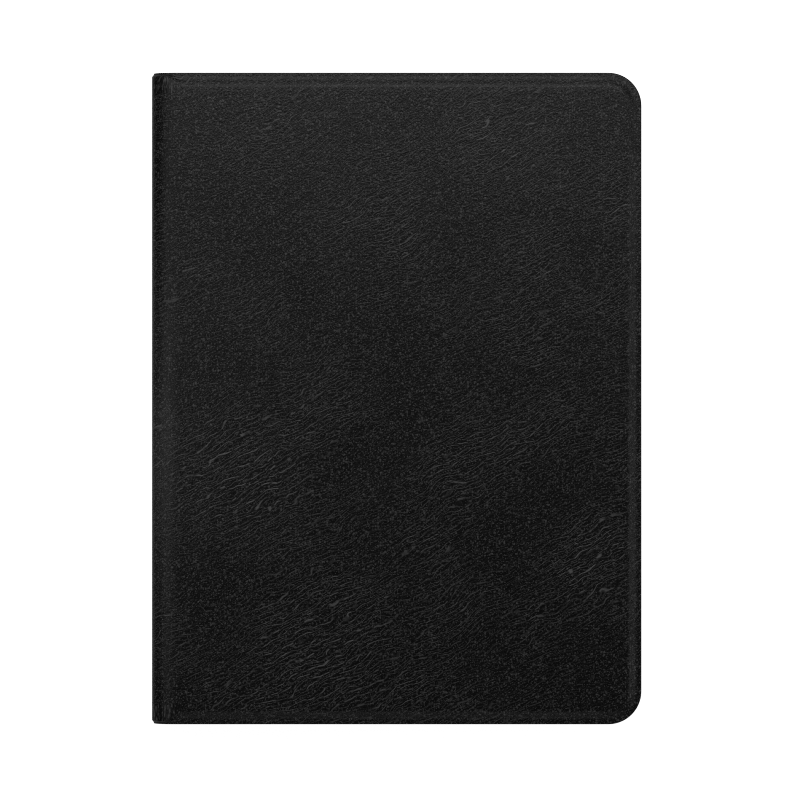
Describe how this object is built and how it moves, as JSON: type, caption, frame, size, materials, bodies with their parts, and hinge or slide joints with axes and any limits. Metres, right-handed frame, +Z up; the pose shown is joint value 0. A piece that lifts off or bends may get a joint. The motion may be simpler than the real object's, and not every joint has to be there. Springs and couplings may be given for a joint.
{
  "type": "tablet folio case",
  "caption": "Padded leather folio that grips an 11-inch tablet in a tilting tray with a prop leg, between a hinged front cover, a spine and a back cover.",
  "frame": {"origin": "on the table under the middle of the closed case", "axes": "+Z up out of the front cover, +Y along the case towards its top edge, +X from the spine to the free edge"},
  "size_m": [0.1924, 0.256, 0.0181],
  "materials": {
    "leather": "near-black crinkled leather with a fine grain and a soft sheen",
    "lining": "charcoal brushed microfibre",
    "board": "grey bookbinder's board",
    "foam": "dark closed-cell foam sheet",
    "steel": "rolled steel strip",
    "magnet": "nickel-plated magnet",
    "tray_plastic": "fine-textured black plastic",
    "soft_rim": "matte black soft-touch rim",
    "foot_rubber": "matte black rubber"
  },
  "bodies": {
    "back_cover": {"back_skin": "leather", "back_board": "board", "back_lining": "lining", "keeper_strip_1": "steel", "keeper_strip_2": "steel", "keeper_strip_3": "steel", "tray_hinge_strip": "leather"},
    "spine": {"spine_skin": "leather", "spine_board": "board", "spine_lining": "lining"},
    "front_cover": {"front_skin": "leather", "front_foam": "foam", "front_board": "board", "front_lining": "lining", "closure_magnet_1": "magnet", "closure_magnet_2": "magnet", "closure_magnet_3": "magnet", "closure_magnet_4": "magnet", "wake_magnet": "magnet"},
    "tray": {"tray_rim": "soft_rim", "tray_plate": "tray_plastic", "tray_liner": "lining", "tray_base_pad": "leather", "tray_top_pad": "leather", "tray_bottom_pad": "leather"},
    "leg": {"leg_sleeve": "leather", "leg_board": "board", "leg_magnet_1": "magnet", "leg_magnet_2": "magnet", "leg_magnet_3": "magnet", "leg_foot": "foot_rubber"},
    "power_button": {"power_button": "soft_rim"},
    "volume_up_button": {"volume_up_button": "soft_rim"},
    "volume_down_button": {"volume_down_button": "soft_rim"}
  },
  "joints": [
    {"name": "spine_fold", "type": "hinge", "parent": "back_cover", "child": "spine", "pos_m": [-0.09479, 0, 0.00146], "axis": [0, -1, 0], "range_deg": [0, 90]},
    {"name": "cover_fold", "type": "hinge", "parent": "spine", "child": "front_cover", "pos_m": [-0.09479, 0, 0.01664], "axis": [0, -1, 0], "range_deg": [0, 90]},
    {"name": "tray_tilt", "type": "hinge", "parent": "back_cover", "child": "tray", "pos_m": [-0.08775, 0, 0.0042], "axis": [0, -1, 0], "range_deg": [0, 60]},
    {"name": "leg_swing", "type": "hinge", "parent": "tray", "child": "leg", "pos_m": [0.00105, 0, 0.0042], "axis": [0, 1, 0], "range_deg": [0, 120]},
    {"name": "power_press", "type": "slide", "parent": "tray", "child": "power_button", "axis": [0, -1, 0], "range_m": [0, 0.0004], "stiffness_N_per_m": 400},
    {"name": "volume_up_press", "type": "slide", "parent": "tray", "child": "volume_up_button", "axis": [-1, 0, 0], "range_m": [0, 0.0004], "stiffness_N_per_m": 400},
    {"name": "volume_down_press", "type": "slide", "parent": "tray", "child": "volume_down_button", "axis": [-1, 0, 0], "range_m": [0, 0.0004], "stiffness_N_per_m": 400}
  ],
  "couplings": [
    {"joint": "tray_tilt", "follows": "spine_fold", "ratio": 0.66667},
    {"joint": "leg_swing", "follows": "spine_fold", "ratio": 1.3333}
  ]
}
